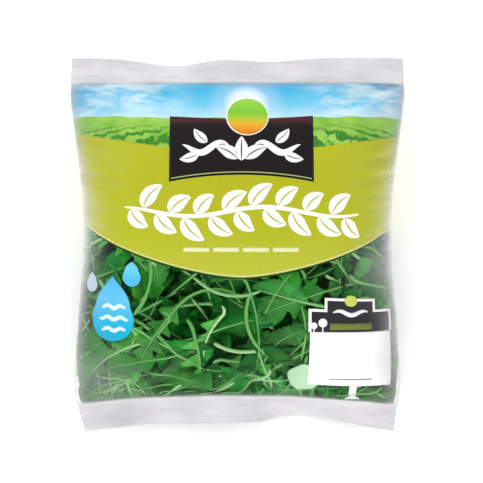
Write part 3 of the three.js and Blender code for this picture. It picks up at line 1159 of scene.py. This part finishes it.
def make_salad():
    """Leaves of two kinds over the whole bag, more along the bottom weld, and loose stalks."""
    rng = np.random.default_rng(21)
    lobed, rounds, stalks = Soup(), Soup(), Soup()
    for soup, count, seed, blades, widths, outline, slant, steps in (
            (lobed, LOBED_LEAVES, 0.13, (40, 60), (11, 16), lobed_outline, 0.4, 36),
            (rounds, ROUND_LEAVES, 0.61, (28, 44), (7.5, 12), round_outline, 0.15, 26)):
        for i, (u, v) in enumerate(zip(*spread(count, seed))):
            depth = (0.9 + 7.5 * ((i * SCATTER_DEPTH) % 1) ** 1.4) * MM
            heading = rng.uniform(0, math.tau)
            stalk = (rng.uniform(22, 42) if i % 4 == 0 else rng.uniform(4, 12)) * MM
            leaf = Leaf(rng, u, v, depth, heading, stalk, rng.uniform(*blades) * MM,
                        rng.uniform(*widths) * MM, outline(rng), slant)
            leaf.add_blade(soup, steps, 7)
            leaf.add_stalk(stalks, rng.uniform(0.75, 1.25) * MM)
    for i in range(WELD_LEAVES):
        u = -HALF_WIDTH + FLAT_WIDTH * (i + rng.uniform(0.2, 0.8)) / WELD_LEAVES
        heading = rng.normal(0, 0.25) + math.pi * (i % 2)
        leaf = Leaf(rng, u, SALAD_LOW + rng.uniform(2, 5) * MM, rng.uniform(1.1, 2.5) * MM, heading,
                    rng.uniform(4, 12) * MM, rng.uniform(24, 38) * MM, rng.uniform(5, 8) * MM,
                    round_outline(rng), 0.15)
        leaf.add_blade(rounds, 36, 15)
        leaf.add_stalk(stalks, rng.uniform(0.6, 1.0) * MM)
    run = np.linspace(-0.5, 0.5, STALK_STEPS)
    for u, v in zip(*spread(LOOSE_STALKS, 0.37)):
        step = rng.uniform(22, 48) * MM / STALK_STEPS
        turn = rng.uniform(0, math.tau) + rng.normal(0, 1.0) * run
        u, v = u + np.cumsum(np.cos(turn)) * step, v + np.cumsum(np.sin(turn)) * step
        v += max(0, SALAD_LOW - v.min())
        depth = (0.6 + rng.uniform(0, 1.9) + 0.7 * np.sin(3 * run + rng.uniform(0, 6))) * MM
        radius = rng.uniform(0.8, 1.25) * MM * np.ones(STALK_STEPS)
        add_tube(stalks, u, v, depth, radius, tone=rng.random(), warmth=rng.random())
    lobed.build("lobed_leaves", leaf_material("lobed_leaf"), "leaf")
    rounds.build("young_leaves", leaf_material("young_leaf"), "leaf")
    stalks.build("leaf_stalks", stalk_material(), "stalk")


def leaf_material(name):
    """Fresh leaf: deep to light green, paler veins, a faint mottle, painted shade in broad patches and down
    in the heap, and painted light by how each blade tilts.
    """
    n = Nodes(name)
    tone = n.value("tone")
    cool = n.ramp(tone, (
        (0.05, (0, 66, 20)), (0.45, (0, 116, 44)), (0.8, (34, 154, 62)), (1.0, (84, 186, 88))))
    warm = n.ramp(tone, ((0.1, (8, 86, 6)), (0.5, (44, 138, 22)), (0.9, (106, 184, 58))))
    green = n.mix(n.value("warmth"), cool, warm)
    off_rib = n.size(n.value("across"))
    herringbone = n.minus(n.times(n.value("along"), 62.0), n.times(off_rib, 9.0))
    side_veins = n.power(n.size(n.math("SINE", herringbone)), 14.0)
    rib = n.minus(1.0, n.times(off_rib, 9.0), clamp=True)
    veins = n.plus(n.times(side_veins, 0.12), n.times(rib, 0.6), clamp=True)
    mottle = n.noise(n.solid(), 260, 4, 0.6)
    mottled = n.mix(n.ramp(mottle, ((0.35, 0), (0.75, 120))), green, (8, 78, 22))
    veined = n.mix(veins, mottled, (116, 188, 104))
    backed = n.mix(n.times(n.value("under"), 0.4), veined, (92, 164, 84))
    # Painted shade: broad darker patches across the leaves, standing in for the shade of crinkled leaves.
    painted_patch_shade = n.ramp(n.noise(n.solid(), 75, 4, 0.6), ((0.34, (160, 185, 165)), (0.64, 255)))
    # Painted shade: leaves are darkened the deeper they lie, standing in for the shade inside the heap.
    shade = n.ramp(n.value("deep"), ((0.0, 255), (0.4, (206, 220, 206)), (1.0, (104, 156, 104))))
    shaded = n.mix(1.0, n.mix(1.0, backed, painted_patch_shade, "MULTIPLY"), shade, "MULTIPLY")
    # Painted light and shade: the colour is scaled up or down by the blade's tilt towards the painted light.
    glow = n.plus(0.45, n.times(n.value("lit"), 0.65))
    colour = n.add("VectorMath", {0: shaded, "Scale": glow}, operation="SCALE").outputs[0]
    height = n.plus(n.times(side_veins, -0.5), mottle)
    return n.satin(colour, 0.45, 0.06, n.bump(height, 0.35 * MM, 0.5))


def stalk_material():
    """Pale green stalk with fine lengthwise streaks."""
    n = Nodes("leaf_stalk")
    streak = n.noise(n.solid(), 500, 3)
    green = n.ramp(n.value("tone"), ((0.0, (70, 146, 62)), (0.5, (118, 180, 104)), (1.0, (186, 222, 172))))
    colour = n.mix(n.times(streak, 0.5), green, (96, 146, 70))
    return n.satin(colour, 0.4, 0.2, n.bump(streak, 0.15 * MM, 0.5))


def heap_material():
    """Deep shade between leaves: dark green, uneven."""
    n = Nodes("deep_heap")
    clumps = n.noise(n.solid(), 120, 5, 0.65)
    colour = n.ramp(clumps, ((0.3, (2, 98, 14)), (0.6, (6, 126, 26)), (0.8, (18, 150, 40))))
    return n.satin(colour, 0.7, 0.1, n.bump(clumps, 2 * MM, 0.8))


# ---- Stage: floor, light and camera ----

FLOOR_REACH = 3.0
VIEW_WIDTH = 273.1 * MM
CAMERA_HEIGHT = 1.3
SENSOR_WIDTH = 36
VIEW_CENTRE = (2.26 * MM, 2.5 * MM)
# Place, size and power of each soft lamp.
SOFTBOXES = {
    "softbox_left": ((-1.4, 0.7, 1.2), (0.9, 0.9), 17),
    "softbox_right": ((1.4, 0.5, 1.2), (0.9, 0.9), 9),
    "softbox_near": ((0.2, -1.8, 1.0), (1.4, 0.9), 16),
}


def add_to_scene(name, data):
    thing = bpy.data.objects.new(name, data)
    bpy.context.scene.collection.objects.link(thing)
    return thing


def make_floor():
    mesh = bpy.data.meshes.new("floor")
    corners = [(x * FLOOR_REACH, y * FLOOR_REACH, 0) for x, y in ((-1, -1), (1, -1), (1, 1), (-1, 1))]
    mesh.from_pydata(corners, [], [(0, 1, 2, 3)])
    floor = add_to_scene("floor", mesh)
    floor.location.z = -0.1 * MM
    n = Nodes("pale_floor")
    colour = n.ramp(n.noise(n.solid(), 3, 2), ((0.3, 250), (0.7, 253)))
    mesh.materials.append(n.finish(n.shader("BsdfPrincipled", {
        "Base Color": colour, "Roughness": 0.9, "Emission Color": WHITE, "Emission Strength": 0.12})))


def make_light():
    """A white studio: bright near the horizon, dim straight above, with three soft lamps."""
    for name, (place, size, power) in SOFTBOXES.items():
        light = bpy.data.lights.new(name, "AREA")
        light.shape = "RECTANGLE"
        light.size, light.size_y = size
        light.energy = power
        lamp = add_to_scene(name, light)
        lamp.location = place
        lamp.rotation_euler = (-lamp.location.normalized()).to_track_quat("-Z", "Y").to_euler()
    world = bpy.data.worlds.new("studio")
    world.use_nodes = True
    bpy.context.scene.world = world
    nodes, link = world.node_tree.nodes, world.node_tree.links.new
    split = nodes.new("ShaderNodeSeparateXYZ")
    ramp = nodes.new("ShaderNodeValToRGB")
    ramp.color_ramp.interpolation = "EASE"
    for element, place, level in zip(ramp.color_ramp.elements, (0.25, 0.85), (1.0, 0.24)):
        element.position = place
        element.color = (level, level, level, 1)
    link(nodes.new("ShaderNodeTexCoord").outputs["Generated"], split.inputs[0])
    link(split.outputs["Z"], ramp.inputs[0])
    link(ramp.outputs[0], nodes["Background"].inputs["Color"])
    nodes["Background"].inputs["Strength"].default_value = 1.6


def make_camera():
    """A camera straight above that looks down on the printed front."""
    camera = bpy.data.cameras.new("camera")
    camera.sensor_width = SENSOR_WIDTH
    camera.lens = SENSOR_WIDTH * (CAMERA_HEIGHT - SEAL_LEVEL) / VIEW_WIDTH
    viewer = add_to_scene("camera", camera)
    viewer.location = (*VIEW_CENTRE, CAMERA_HEIGHT)
    bpy.context.scene.camera = viewer


clear_film = film_material()
bag = make_bag(clear_film)
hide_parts("salad_bag")
make_fin(clear_film)
for draw in (print_scenery, print_panel, print_garland, print_drops, print_sign):
    draw()
for ink in Ink.made:
    ink.build()
make_heap()
make_salad()
make_floor()
make_light()
make_camera()
bpy.context.scene.view_settings.view_transform = "Standard"
